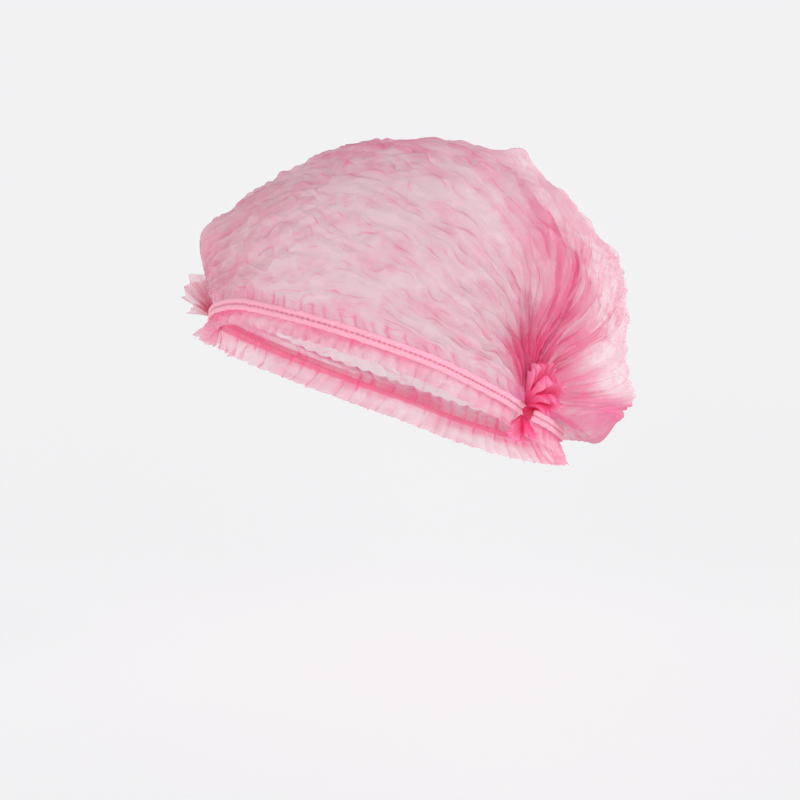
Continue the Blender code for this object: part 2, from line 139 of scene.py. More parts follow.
# Folds of the crown's cloth. Pitches, and the way from its middle to an end, are in millimetres of
# flat cloth, and rises are in metres.
HALF_WAY = 185.0
PLEAT_PITCH = 9.0
PLEAT_RISE = 0.00125
WIDE_PITCH = 26.0
WIDE_RISE = 0.0020
SLANT_PITCH = 13.0
SLANT_RISE = 0.00075
WRINKLE_RISE = 0.0008
GATHER_RISE = 0.0016
FOLD_LIMITS = (-0.0045, 0.0065)
# A pleat that is pressed quite flat is this high, half of its pitch
PLEAT_HEIGHT = 0.0045

# Crumples: pitch across and along the pleats, bend out of line, rise and seed
Crumple = namedtuple("Crumple", "across along bend rise seed")
BIG_CRUMPLES = Crumple(34.0, 46.0, 0.5, 0.0085, 55)
MIDDLE_CRUMPLES = Crumple(15.0, 22.0, 0.8, 0.0036, 52)
SMALL_CRUMPLES = Crumple(11.0, 15.0, 0.9, 0.0021, 53)

# Puffs of the frill below the elastic, and the seeds of its two runs
PUFF_RISE = 0.0013
FRILL_SEEDS = {"front": 70, "back": 80}

# Pleated fans of a welded end. lobe is 1 above the weld and -1 below it, spread is the fan's
# opening to each side in degrees, lift how far it stands out, swing its turn to the back, and
# twist the turn of its width from along the elastic to straight out.
Fan = namedtuple("Fan", "lobe length spread pleats depth lift swing twist")
LEFT_FANS = (
    Fan(-1, 0.0145, 24.0, 5, 0.0040, 4.0, -24.0, 0.0),
    Fan(-1, 0.0120, 14.0, 2, 0.0034, 30.0, 20.0, 0.0),
    Fan(1, 0.0235, 26.0, 5, 0.0046, 8.0, -12.0, 0.0),
    Fan(1, 0.0200, 36.0, 5, 0.0056, 28.0, -2.0, 0.0),
    Fan(1, 0.0160, 48.0, 5, 0.0056, 50.0, 4.0, 0.0),
    Fan(1, 0.0115, 58.0, 4, 0.0046, 72.0, 6.0, 0.0),
)
RIGHT_FANS = (
    Fan(-1, 0.0110, 20.0, 2, 0.0030, 14.0, 14.0, 60.0),
    Fan(1, 0.0245, 22.0, 2, 0.0050, -10.0, 32.0, 76.0),
    Fan(1, 0.0225, 26.0, 2, 0.0056, 6.0, 42.0, 70.0),
    Fan(1, 0.0150, 22.0, 2, 0.0044, 22.0, 64.0, 62.0),
)
FOLD_ANGLE = math.radians(35.0)
WELD_RIBS = 11.0
FAN_ROWS = 10
FACET_COLUMNS = 8

# How cloth looks: colours of one flat layer, of creases and of crowded cloth, how much the thinnest
# and the densest cover, and how crowded flat cloth seems
ClothLook = namedtuple("ClothLook", "thin middle dense thin_cover dense_cover base")
LEFT_LOOK = ClothLook("#FFBEDA", "#FF78B4", "#F5186E", 0.74, 1.0, 0.08)
RIGHT_LOOK = ClothLook("#F6C3D2", "#F08FAE", "#EF6B92", 0.50, 0.92, 0.00)
# Colours of free cloth, painted paler as if lit from both sides, of creased frills and of painted
# highlights on short creases
FREE_LIT_THIN = "#FFD2DF"
FREE_LIT_MIDDLE = "#F79BB9"
FRILL_MIDDLE = "#F994B5"
PAINTED_GLINT = "#FFF4F8"

# Ribs of the elastic's covering thread and the stitches between its strands
RIB_PITCH = 0.0013
STITCH_PITCH = 0.0026

# Creases of the crown: where their phase and strength are stored, how wide a line is as a
# share of half a pleat, and how much darker it makes the cloth
CROWN_LINES = (
    ("pleat", "pleat_show", 0.14, 0.34),
    ("slant", "slant_show", 0.09, 0.30),
)

# The floor below the cap, and the camera: its direction, the middle of its view and its lens
FLOOR = -0.285
FLOOR_RADIUS = 20.0
FLOOR_GLOW = 0.67
VIEW_AZIMUTH = 45.0
VIEW_HEIGHT = 14.0
VIEW_RIGHT = 0.0026
VIEW_DROP = -0.131
VIEW_LENS = 105.3

# Soft lamps: azimuth and height of the light, its power and how wide it is in degrees
Sun = namedtuple("Sun", "name azimuth height power width")
SUNS = (
    Sun("key", 8.0, 16.0, 1.10, 40.0),
    Sun("fill", 85.0, 12.0, 0.95, 50.0),
    Sun("side", 128.0, 18.0, 1.20, 10.0),
    Sun("rim", 190.0, 15.0, 0.90, 50.0),
    Sun("left", 290.0, 14.0, 0.50, 50.0),
)


def smooth_curve(keys, values, at):
    """Smooth curve through values at rising keys, each value a number or one for each place."""
    keys = np.asarray(keys, float)
    values = np.array([np.broadcast_to(v, at.shape) for v in values])
    i = np.clip(np.searchsorted(keys, at, side="right") - 1, 0, len(keys) - 2)
    span = keys[i + 1] - keys[i]
    share = (at - keys[i]) / span

    def pick(index):
        return np.take_along_axis(values, index[None], 0)[0]

    def slope(index):
        before, after = np.maximum(index - 1, 0), np.minimum(index + 1, len(keys) - 1)
        return (pick(after) - pick(before)) / (keys[after] - keys[before])

    h = share * share * (3.0 - 2.0 * share)
    bend = share * (1.0 - share) ** 2 * span * slope(i)
    bend -= share ** 2 * (1.0 - share) * span * slope(i + 1)
    return pick(i) * (1.0 - h) + pick(i + 1) * h + bend


def section_value(column, azimuth):
    """A column of SECTIONS at any azimuth."""
    keys = [row.azimuth for row in SECTIONS]
    values = [getattr(row, column) for row in SECTIONS]
    keys = [keys[-1] - TURN] + keys + [keys[0] + TURN, keys[1] + TURN]
    values = [values[-1]] + values + [values[0], values[1]]
    return smooth_curve(keys, values, keys[1] + (azimuth - keys[1]) % TURN)


def smooth_step(value, low=0.0, high=1.0):
    """0 below low, 1 above high, and an even blend between."""
    t = np.clip((value - low) / (high - low), 0.0, 1.0)
    return t * t * (3.0 - 2.0 * t)


def bump(offset, reach):
    """1 at the middle, falling smoothly to 0 at the reach."""
    return smooth_step(1.0 - np.abs(offset) / reach)


def unit(vectors):
    """The vectors at length 1."""
    return vectors / np.maximum(np.linalg.norm(vectors, axis=-1, keepdims=True), 1e-12)


def hollow_point(azimuth, drop):
    """Points of the hollow's surface below the seat."""
    height = np.where(drop < HOLLOW_RISE, HOLLOW_RISE, HOLLOW_FALL)
    share = np.sqrt(np.maximum(0.0, 1.0 - ((drop - HOLLOW_RISE) / height) ** 2))
    turn = np.radians(azimuth)
    x = HOLLOW_WIDTH / 2.0 * share * np.sin(turn)
    y = -HOLLOW_LENGTH / 2.0 * share * np.cos(turn)
    return np.stack([x, y, -drop], -1)


def hollow_normal(point):
    """Directions straight out of the hollow at points of its surface."""
    z = point[..., 2]
    height = np.where(-z < HOLLOW_RISE, HOLLOW_RISE, HOLLOW_FALL)
    x = point[..., 0] / (HOLLOW_WIDTH / 2.0) ** 2
    y = point[..., 1] / (HOLLOW_LENGTH / 2.0) ** 2
    return unit(np.stack([x, y, (z + HOLLOW_RISE) / height ** 2], -1))


def band_drop(azimuth):
    """Drop of the elastic's middle line."""
    return NAPE_DROP * section_value("band", azimuth)


def band_frame(azimuth):
    """The elastic's middle line on the hollow, with its directions along, up and out."""
    before = hollow_point(azimuth - SMALL_TURN, band_drop(azimuth - SMALL_TURN))
    after = hollow_point(azimuth + SMALL_TURN, band_drop(azimuth + SMALL_TURN))
    point = hollow_point(azimuth, band_drop(azimuth))
    out = hollow_normal(point)
    along = unit(after - before)
    return point, along, unit(np.cross(out, along)), out


def on_band(azimuth, rise, stand):
    """Points at a height above the elastic's middle line and a distance out of the hollow."""
    point, _, up, out = band_frame(azimuth)
    return point + up * np.asarray(rise)[..., None] + out * np.asarray(stand)[..., None]


def run_range(part):
    """Azimuths at which the front or back run of the band starts and ends."""
    before = band_frame(np.array([LEFT_END - SMALL_TURN, RIGHT_END - SMALL_TURN]))[0]
    after = band_frame(np.array([LEFT_END + SMALL_TURN, RIGHT_END + SMALL_TURN]))[0]
    half = (WELD_WIDTH / 2.0 + PIECE_GAP) * 2.0 * SMALL_TURN
    left, right = half / np.linalg.norm(after - before, axis=-1)
    if part == "front":
        return RIGHT_END - TURN + right, LEFT_END - left
    return LEFT_END + left, RIGHT_END - right


def way_gone(points):
    """Length of the way along a row of points, at each of them."""
    steps = np.linalg.norm(np.diff(points, axis=0), axis=1)
    return np.concatenate([[0.0], np.cumsum(steps)])


def gradient_noise(x, y, seed):
    """Smooth noise from about -1 to 1 on a plane, the same for the same seed."""
    cells = 128
    angles = np.random.default_rng(seed).random((cells, cells)) * math.tau
    xi, yi = np.floor(x).astype(int), np.floor(y).astype(int)
    fx, fy = x - xi, y - yi
    total = 0.0
    for dx in (0, 1):
        for dy in (0, 1):
            a = angles[(xi + dx) % cells, (yi + dy) % cells]
            tx, ty = fx - dx, fy - dy
            wx = 1.0 - np.abs(tx)
            wy = 1.0 - np.abs(ty)
            weight = wx ** 3 * (wx * (wx * 6.0 - 15.0) + 10.0)
            weight = weight * wy ** 3 * (wy * (wy * 6.0 - 15.0) + 10.0)
            total = total + weight * (tx * np.cos(a) + ty * np.sin(a))
    return total * 1.5


def line_noise(x, seed):
    """Smooth noise from about -1 to 1 along a line."""
    return gradient_noise(x, 0.0 * x, seed)


def facets(x, y, seed):
    """Crumpled facets: distance to the nearest of some scattered points."""
    cells = 128
    jitter = np.random.default_rng(seed).random((cells, cells, 2))
    xi, yi = np.floor(x).astype(int), np.floor(y).astype(int)
    near = np.full(np.shape(x), 9.0)
    for dx in (-1, 0, 1):
        for dy in (-1, 0, 1):
            j = jitter[(xi + dx) % cells, (yi + dy) % cells]
            near = np.minimum(near, np.hypot(xi + dx + j[..., 0] - x, yi + dy + j[..., 1] - y))
    return near


def zigzag(phase):
    """Sharp folds: -1 on each whole number, 1 half-way between."""
    return 4.0 * np.abs(phase - np.round(phase)) - 1.0


def gather_puffs(azimuth, wander=0.0):
    """Rounded puffs between the gathers: 0 at each dart and 1 half-way between."""
    return np.abs(np.sin(math.pi * (azimuth * GATHERS / TURN + wander)))


def cloth_out(azimuth, share):
    """How far the crown stands out of the hollow, as a share of FULLNESS."""
    names = sorted(STATIONS, key=STATIONS.get)
    values = [0.0] + [section_value(name, azimuth) for name in names] + [STAND_OFF / FULLNESS]
    out = smooth_curve([0.0] + [STATIONS[name] for name in names] + [1.0], values, share)
    for b in BILLOWS:
        turn = (azimuth - b.azimuth + TURN / 2.0) % TURN - TURN / 2.0
        out = out + b.rise * bump(turn, b.half_angle) * bump(share - b.station, b.half_share)
    return out


def crown_base(azimuth, share):
    """Smooth middle of the crown's cloth, from its top (0) to just above the elastic (1)."""
    _, _, up, _ = band_frame(azimuth)
    clear = ELASTIC_HEIGHT / 2.0 + PIECE_GAP + CROWN_WALL + CROWN_CLEAR
    low = band_drop(azimuth) - clear / up[..., 2]
    upper = np.arccos(np.clip(1.0 - low / HOLLOW_RISE, -1.0, 1.0))
    lower = math.pi / 2.0 + np.arcsin(np.clip((low - HOLLOW_RISE) / HOLLOW_FALL, -1.0, 1.0))
    angle = np.where(low < HOLLOW_RISE, upper, lower) * share
    above = HOLLOW_RISE * (1.0 - np.cos(angle))
    below = HOLLOW_RISE + HOLLOW_FALL * np.sin(angle - math.pi / 2.0)
    base = hollow_point(azimuth, np.where(angle < math.pi / 2.0, above, below))
    out = cloth_out(azimuth, share) * FULLNESS
    place = base + hollow_normal(base) * (out + CROWN_WALL / 2.0)[..., None]
    way = (1.0 - share) / (1.0 - STATIONS["low"])
    place[..., 2] -= SAG * section_value("sag", azimuth) * bump(way - SAG_MIDDLE, SAG_REACH)
    return place


def disc_lines(along, across):
    """Places in a disc seen from above, on arcs that all run from one welded end to the other.

    along is -1 at the left end and 1 at the right, across 0 at the front hem and 1 at the back.
    """
    front = math.radians(TURN - RIGHT_END + LEFT_END) / 2.0
    middle = math.radians((LEFT_END + RIGHT_END - TURN) / 2.0)
    n = np.array([-math.sin(middle), math.cos(middle)])
    t = np.array([-math.cos(middle), -math.sin(middle)])
    half = math.sin(front)
    centre = -n * math.cos(front)
    arc = -front + math.pi * across
    arc = np.where(np.abs(arc) < 1e-4, 1e-4, arc)
    a = half * np.sin(along * arc) / np.sin(arc)
    b = half * (np.cos(along * arc) - np.cos(arc)) / np.sin(arc)
    place = centre + a[..., None] * t + b[..., None] * n
    share = np.hypot(place[..., 0], place[..., 1])
    return np.degrees(np.arctan2(place[..., 0], -place[..., 1])) % TURN, np.minimum(share, 1.0)


def even_rows():
    """Values of across that divide the way over the top from hem to hem evenly."""
    fine = np.linspace(0.0, 1.0, 2001)
    gone = way_gone(crown_base(*disc_lines(np.zeros_like(fine), fine)))
    rows = np.linspace(0.0, gone[-1], CROWN_ACROSS - 2 * CUFF_ROWS + 1)
    return np.interp(rows, gone, fine), rows


# The crown's grid: place between the ends from -1 to 1, azimuth, share of the way down, spread of the
# pleats, place across and along the flat cloth in mm, looseness, and metres from the hem
Cloth = namedtuple("Cloth", "along azimuth share spread q length loose from_hem")


def crown_cloth(rise):
    """Places of the crown's grid, with where each lies in the flat cloth and its tones."""
    across, rows = even_rows()
    u, v = np.meshgrid(np.linspace(-PINCH_SHARE, PINCH_SHARE, CROWN_ALONG + 1), across)
    azimuth, share = disc_lines(u, v)
    base = crown_base(azimuth, share)
    step_u, step_v = np.gradient(base, axis=(1, 0))
    out = unit(np.cross(step_u, step_v))
    if out[len(out) // 2, CROWN_ALONG // 2, 2] < 0.0:
        out = -out
    spread = np.linalg.norm(step_v, axis=-1) / (rows[1] - rows[0])
    profile = 0.001 * (110.0 + 150.0 * section_value("band", azimuth))
    cloth = Cloth(u, azimuth, share, np.clip(spread, 0.02, 1.5),
                  np.broadcast_to(rows[:, None], u.shape) * 1000.0, HALF_WAY * u,
                  smooth_step(cloth_out(azimuth, share), 0.08, 0.75), (1.0 - share) * profile)
    height, tones = crown_folds(cloth)
    gathers, tones["dart_and_fold_shade"] = crown_gathers(cloth)
    height = height * smooth_step(cloth.from_hem / 0.012, 0.05, 1.0) + gathers
    place = base + out * (rise * np.clip(height, *FOLD_LIMITS))[..., None]
    tones["crowd"], tones["free"] = crown_crowding(cloth)
    tones["pleat_show"] = tones["pleat_show"] * (1.0 - 0.5 * tones["free"])

    # Rows under the elastic, in front and behind
    flat = np.stack([cloth.length, cloth.q], -1) / 1000.0
    place = np.concatenate([cuff_rows(azimuth[0]), place, cuff_rows(azimuth[-1])[::-1]])
    return (pinched(place, True), pinched(under_elastic(flat)),
            {key: pinched(under_elastic(value)) for key, value in tones.items()})


def crown_folds(cloth):
    """Height of the crown's pleats, creases and crumples, with the lines of them that show."""
    q, length, spread, loose = cloth.q, cloth.length, cloth.spread, cloth.loose

    # Pleat lines from end to end. They wander, so that the cloth between them is leaf-shaped.
    pleat = q / PLEAT_PITCH + 0.45 * gradient_noise(q / 14.0, length / 34.0, 11)
    pleat += 1.2 * gradient_noise(q / 44.0, length / 90.0, 12)
    pleat += 0.30 * gradient_noise(q / 9.0, length / 13.0, 18)
    show = smooth_step(gradient_noise(q / 9.0, length / 15.0, 13), -0.30, 0.50)
    height = PLEAT_RISE * zigzag(pleat) * (0.25 + 0.75 * show) * np.minimum(1.0, spread * 1.3)

    # Pleats pressed together towards the ends, lower where the cloth billows
    folded = np.sqrt(np.clip(1.0 - spread ** 2, 0.0, 1.0))
    calm = 1.0 - 0.8 * loose * smooth_step(cloth.share, 0.72, 0.90)
    height += PLEAT_HEIGHT / 2.0 * zigzag(pleat) * folded * calm * (0.68 + 0.32 * show)
    wide = q / WIDE_PITCH + 0.55 * gradient_noise(q / 40.0, length / 60.0, 14)
    near_end = 1.0 - smooth_step(spread, 0.15, 0.55)
    height += WIDE_RISE * zigzag(wide) * near_end * np.minimum(1.0, spread * 3.0)
    height += WRINKLE_RISE * gradient_noise(q / 5.0, length / 17.0, 15) * np.minimum(1.0, spread)

    # Creases across the pleats where the cloth is loose, and its crumples
    slant = length / SLANT_PITCH + q / 30.0 + 0.8 * gradient_noise(q / 22.0, length / 26.0, 16)
    slant_show = smooth_step(gradient_noise(q / 18.0, length / 16.0, 17) + 0.9 * loose, 0.45, 1.05)
    height += SLANT_RISE * zigzag(slant) * slant_show * np.minimum(1.0, spread)
    coarse = crumpled(BIG_CRUMPLES, cloth) + crumpled(MIDDLE_CRUMPLES, cloth)
    height += loose * spread ** 0.5 * coarse
    height += crumpled(SMALL_CRUMPLES, cloth) * spread ** 0.5
    return height, {"pleat": pleat, "pleat_show": show, "slant": slant, "slant_show": slant_show}


def crumpled(kind, cloth):
    """Height of crumples of one size, in facets that meet at ridges."""
    bent = kind.bend * gradient_noise(cloth.q / 40.0, cloth.length / 40.0, 51)
    near = facets(cloth.q / kind.across + bent, cloth.length / kind.along, kind.seed)
    return kind.rise * (0.45 - near)


def crown_gathers(cloth):
    """Height of the rounded puffs above the elastic, and the sharp darts between them."""
    azimuth, from_hem = cloth.azimuth, cloth.from_hem
    puff = gather_puffs(azimuth, 0.35 * gradient_noise(azimuth / 9.0, from_hem * 60.0, 61))
    reach = 0.010 + 0.006 * line_noise(azimuth / 4.0, 62) + 0.008 * cloth.loose
    near_hem = 1.0 - smooth_step(from_hem / reach)
    dart_show = smooth_step(line_noise(azimuth / 2.3, 66), -0.45, 0.45)
    dart_and_fold_shade = (1.0 - puff) ** 4.0 * (1.0 - smooth_step(from_hem, 0.0012, 0.0050)) * dart_show
    return GATHER_RISE * near_hem * (puff ** 0.7 - 0.45), dart_and_fold_shade


def crown_crowding(cloth):
    """How much cloth is crowded into each place, and how freely it stands."""
    azimuth, share, loose = cloth.azimuth, cloth.share, cloth.loose

    # Towards the ends, most at the left one, and above the elastic
    crowd = np.clip(0.13 * (1.0 / cloth.spread - 1.0), 0.0, 1.0)
    crowd = crowd * (1.0 - 0.55 * smooth_step(cloth.along, 0.1, 0.7))
    hem_crowd = 0.13 + 0.13 * line_noise(azimuth / 3.0, 64)
    crowd = np.maximum(crowd, hem_crowd * (1.0 - smooth_step(cloth.from_hem, 0.000, 0.0080)))
    crowd = np.minimum(crowd, 0.72)

    # Bunched above the left end, folded under behind it, and close at the top
    patch = 0.54 + 0.20 * gradient_noise(cloth.q / 20.0, cloth.length / 14.0, 63)
    bunched = bump(azimuth - 109.0, 25.0) * smooth_step(share, 0.20, 0.70)
    crowd = np.maximum(crowd, bunched * patch)
    fold_under = bump(share - 0.965, 0.036) * bump(azimuth - 126.0, 40.0)
    crowd = np.maximum(crowd, 0.80 * fold_under * (0.75 + 0.35 * patch))
    crowd = crowd + 0.18 * (1.0 - smooth_step(share, 0.10, 0.46)) * (1.0 - loose)

    # Free where it is loose and spread, less at those folds and over the nape
    free = loose * smooth_step(cloth.spread, 0.10, 0.45) * smooth_step(cloth.from_hem, 0.004, 0.020)
    free *= (1.0 - 0.85 * bump(azimuth - 106.0, 17.0)) * (1.0 - 0.8 * fold_under)
    free *= 1.0 - 0.5 * smooth_step(azimuth, 158.0, 185.0)
    return crowd * (1.0 - 0.45 * free), free


def pinched(rows, to_middle=False):
    """The rows with a column more at each end, to_middle with its places drawn to one point."""
    ends = []
    for end in (rows[:, :1], rows[:, -1:]):
        middle = np.broadcast_to(end.mean(axis=0, keepdims=True), end.shape)
        ends.append(middle if to_middle else end)
    return np.concatenate([ends[0], rows, ends[1]], axis=1)


def under_elastic(rows):
    """The rows with their first and last repeated for the cloth under the elastic."""
    first, last = (np.repeat(end, CUFF_ROWS, 0) for end in (rows[:1], rows[-1:]))
    return np.concatenate([first, rows, last])


def cuff_rows(azimuth):
    """Rows of the crown under the elastic, from its middle line to its upper edge."""
    stand = np.full(azimuth.shape, STAND_OFF + CROWN_WALL / 2.0)
    rises = CUFF_RISE + (ELASTIC_HEIGHT / 2.0 + PIECE_GAP) * np.arange(CUFF_ROWS) / (CUFF_ROWS - 1.0)
    return np.array([on_band(azimuth, np.full(azimuth.shape, rise), stand) for rise in rises])


def frill_cloth(part, wave_rise):
    """Places of one run of the frill, from the elastic's middle line to its ragged hem."""
    start, end = run_range(part)
    seed = FRILL_SEEDS[part]
    columns = round((end - start) / TURN * GATHERS) * FRILL_COLUMNS
    azimuth, down = np.meshgrid(np.linspace(start, end, columns + 1),
                                np.linspace(0.0, 1.0, FRILL_ROWS + 1))
    under = ELASTIC_HEIGHT / 2.0 + PIECE_GAP
    ragged = 0.0007 * line_noise(azimuth / 2.6, seed) + 0.0009 * line_noise(azimuth / 0.55, seed + 1)
    hem = FRILL_DEPTH * section_value("depth", azimuth) + ragged
    depth = CUFF_RISE + (hem - CUFF_RISE) * down
    share = np.clip((depth - under) / (hem - under), 0.0, 1.0)
    puff = gather_puffs(azimuth, 0.30 * gradient_noise(azimuth / 8.0, 0.5 * share, seed + 2))
    curl = gradient_noise(azimuth / 3.1, 1.3 * share, seed + 3)

    # Out of the hollow: flare, less where the frill hangs, puffs and the hem's wave
    hang = 1.0 - 0.60 * bump(azimuth - 138.0, 30.0)
    hang -= 0.75 * bump(azimuth % TURN - RIGHT_END, 30.0)
    flare = FRILL_FLARE * section_value("flare", azimuth % TURN) * hang * share ** 1.3
    stand = STAND_OFF + FRILL_WALL / 2.0 + flare
    stand = stand + PUFF_RISE * smooth_step(share, 0.0, 0.12) * (puff ** 0.7 - 0.3)
    full = 1.4 + 1.1 * line_noise(azimuth / 7.0, seed + 7)
    free = smooth_step(np.minimum(azimuth - start, end - azimuth) / 14.0, 0.0, 1.0) * 0.75 + 0.25
    stand = stand + wave_rise * free * share ** 0.6 * (full * (puff - 0.5) + 0.9 * curl)
    places = on_band(azimuth, -depth, np.maximum(stand, STAND_OFF * 0.6))

    # Darts below the elastic, and cloth crowded there and into the folds of the hem
    dart_show = smooth_step(line_noise(azimuth / 2.1, seed + 5), -0.40, 0.40)
    dart_and_fold_shade = (1.0 - smooth_step(share, 0.02, 0.42)) * (1.0 - puff) ** 4.0 * dart_show
    crowd = 0.26 * (1.0 - smooth_step(share, 0.0, 0.5)) + 0.16 * (1.0 - puff) ** 3.0 * share
    crowd = crowd + 0.10 * gradient_noise(azimuth / 1.9, 1.1 * share, seed + 6)
    gone = way_gone(band_frame(azimuth[0])[0])
    flat = np.stack([np.broadcast_to(gone, azimuth.shape), -depth], -1)
    return places, flat, {"crowd": crowd, "dart_and_fold_shade": dart_and_fold_shade}


def elastic_seat():
    """How far out of the hollow the elastic's inner face lies, over the cloth."""
    return STAND_OFF + max(CROWN_WALL, FRILL_WALL) + CUFF_RISE + PIECE_GAP


def elastic_run(part):
    """Places round one run of the double elastic, two rounded strands with a groove between."""
    start, end = run_range(part)
    turns = np.linspace(start, end, round((end - start) / TURN * ELASTIC_COLUMNS) + 1)
    face = np.linspace(-1.0, 1.0, STRAND_POINTS)
    strand = np.sqrt(np.maximum(0.0, 1.0 - ((np.abs(face) - 0.53) / 0.53) ** 2))
    back = face[::-4]
    heights = np.concatenate([face, back, face[:1]])
    stands = np.concatenate([0.25 + 0.75 * strand, np.zeros(len(back)), 0.25 + 0.75 * strand[:1]])
    azimuth, h = np.meshgrid(turns, heights)
    _, s = np.meshgrid(turns, stands)
    gone = way_gone(band_frame(turns)[0])
    pucker = gather_puffs(azimuth)
    rib = np.sin(math.tau * gone / RIB_PITCH)[None, :]
    sway = 0.00025 * line_noise(azimuth / 3.0, 90)
    rise = h * ELASTIC_HEIGHT / 2.0 * (0.94 + 0.06 * pucker) + sway
    stand = elastic_seat() + s * (ELASTIC_THICKNESS + 0.0002 * pucker + 0.00005 * rib)
    places = on_band(azimuth, rise, stand)
    places[-1] = places[0]
    flat = np.stack([np.broadcast_to(gone, azimuth.shape), h], -1)
    return places, flat


def welded_end(azimuth, fans):
    """One welded end: pleats pressed together at the weld, and fans of them above and below."""
    point, _, up, out = (v[0] for v in band_frame(np.array([azimuth])))
    side = np.cross(up, out)
    seat = elastic_seat() + ELASTIC_THICKNESS / 2.0
    bm = bmesh.new()
    layer = bm.loops.layers.uv.new("UVMap")
    stores = {key: bm.verts.layers.float.new(key) for key in ("crowd", "dart_and_fold_shade")}

    # The weld itself, ribbed by the pleats pressed into it
    made = bmesh.ops.create_uvsphere(bm, u_segments=48, v_segments=16, radius=1.0)["verts"]
    for vert in made:
        a, b, c = vert.co
        rib = 1.0 + 0.10 * math.cos(WELD_RIBS * math.atan2(b, a))
        place = point + side * (a * rib * WELD_WIDTH) + up * (b * rib * ELASTIC_HEIGHT * 0.70)
        vert.co = place + out * (seat + c * ELASTIC_THICKNESS * 1.4)
        vert[stores["crowd"]] = 0.75
    for number, fan in enumerate(fans):
        add_fan(bm, stores, fan, number, point + out * seat, (side, up, out))
    for face in bm.faces:
        for loop in face.loops:
            loop[layer].uv = (loop.vert.co.z, loop.vert.co.y)
    return bm


def add_fan(bm, stores, fan, number, middle, ways):
    """One fan of pleats, opening from the middle of the weld. ways are side, up and out."""
    side, up, out = ways
    rise = up * fan.lobe
    lift, twist = math.radians(fan.lift), math.radians(fan.twist)
    width = side * math.cos(twist) + out * math.sin(twist)
    front = out * math.cos(twist) - side * math.sin(twist)
    columns = fan.pleats * 2 * FACET_COLUMNS
    made = bmesh.ops.create_grid(bm, x_segments=columns, y_segments=FAN_ROWS, size=1.0)["verts"]
    grid = np.array([vert.co[:2] for vert in made])
    a, t = grid[:, 0], (grid[:, 1] + 1.0) / 2.0
    fold = a * fan.pleats + 0.25 * gradient_noise(a * 2.0, 0.8 * t, 100 + number)
    uneven = line_noise(a * fan.pleats * 0.9, 110 + number)
    turn = np.radians(fan.swing + fan.spread * a + 5.0 * uneven * t)
    reach = fan.length * t * (1.0 + 0.16 * uneven - 0.10 * a * a)
    reach = reach + 0.0005 * t ** 4 * line_noise(a * 9.0, 120 + number)
    bend = lift * (0.5 + 0.7 * t)
    flat = np.cos(turn)[:, None] * rise + np.sin(turn)[:, None] * width
    direction = np.cos(bend)[:, None] * flat + np.sin(bend)[:, None] * front
    face = np.cos(bend)[:, None] * front - np.sin(bend)[:, None] * flat
    depth = fan.depth * (0.25 + 0.75 * t) * zigzag(fold) / 2.0
    depth = depth + 0.0006 * gradient_noise(a * 4.0, 3.0 * t, 130 + number)
    start = middle + rise * (ELASTIC_HEIGHT * 0.30)
    place = start + width * (a * WELD_WIDTH * 0.45)[:, None] + direction * reach[:, None]
    place = place + face * depth[:, None]
    if fan.lobe < 0:
        bmesh.ops.reverse_faces(bm, faces=list({f for vert in made for f in vert.link_faces}))
    for vert, co, height, pleat in zip(made, place, t, zigzag(fold)):
        vert.co = co
        vert[stores["crowd"]] = 0.62 * (1.0 - height) ** 1.2
        # Painted shade: darker in the valleys of the pleats
        vert[stores["dart_and_fold_shade"]] = 0.48 * (0.5 - 0.5 * pleat) ** 2.0


def grid_piece(name, places, flat, tones, material, closed=False):
    """A sheet or tube: a grid whose vertices are moved to their places.

    places and flat are arrays of rows by columns. closed makes a tube with filled ends.
    """
    rows, columns = places.shape[:2]
    bm = bmesh.new()
    bmesh.ops.create_grid(bm, x_segments=columns - 1, y_segments=rows - 1, size=1.0)
    layer = bm.loops.layers.uv.new("UVMap")
    bm.verts.ensure_lookup_table()
    grid = np.array([v.co[:2] for v in bm.verts])
    i = np.rint((grid[:, 1] + 1.0) / 2.0 * (rows - 1)).astype(int)
    j = np.rint((grid[:, 0] + 1.0) / 2.0 * (columns - 1)).astype(int)
    uv = flat[i, j]
    stores = {bm.verts.layers.float.new(key): value[i, j] for key, value in tones.items()}
    for vert, co in zip(bm.verts, places[i, j]):
        vert.co = co
    for store, values in stores.items():
        for vert, value in zip(bm.verts, values):
            vert[store] = value
    for face in bm.faces:
        for loop in face.loops:
            loop[layer].uv = uv[loop.vert.index]
    bmesh.ops.remove_doubles(bm, verts=bm.verts, dist=1e-6)
    if closed:
        rims = [edge for edge in bm.edges if edge.is_boundary]
        bmesh.ops.holes_fill(bm, edges=rims, sides=0)
        bmesh.ops.recalc_face_normals(bm, faces=bm.faces)
    else:
        bmesh.ops.reverse_faces(bm, faces=bm.faces)
    return add_piece(name, bm, material)


def add_piece(name, bm, material):
    """Object of a finished bmesh, smooth, riding on the frame."""
    mesh = bpy.data.meshes.new(name)
    bm.to_mesh(mesh)
    bm.free()
    mesh.shade_smooth()
    mesh.materials.append(material)
    piece = bpy.data.objects.new(name, mesh)
    bpy.context.collection.objects.link(piece)
    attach(piece, "root")
    return piece


def linear(colour):
    """An sRGB hex colour as linear red, green, blue and alpha."""
    parts = [int(colour[k:k + 2], 16) / 255.0 for k in (1, 3, 5)]
    return (*[c / 12.92 if c <= 0.04045 else ((c + 0.055) / 1.055) ** 2.4 for c in parts], 1.0)


def add_node(tree, kind, inputs=None, **settings):
    """A node with its settings, its inputs given as values or as sockets to link from."""
    made = tree.nodes.new(kind)
    for key, value in settings.items():
        setattr(made, key, value)
    for key, value in (inputs or {}).items():
        if isinstance(value, bpy.types.NodeSocket):
            tree.links.new(value, made.inputs[key])
        else:
            made.inputs[key].default_value = value
    return made


def new_material(name):
    """An empty node material with its output node."""
    material = bpy.data.materials.new(name)
    material.use_nodes = True
    material.node_tree.nodes.clear()
    return material, material.node_tree


def arithmetic(tree, operation, a, b=0.0, c=0.0, clamp=False):
    """Result of one sum on two or three values or sockets."""
    made = add_node(tree, "ShaderNodeMath", {0: a, 1: b, 2: c}, operation=operation, use_clamp=clamp)
    return made.outputs[0]


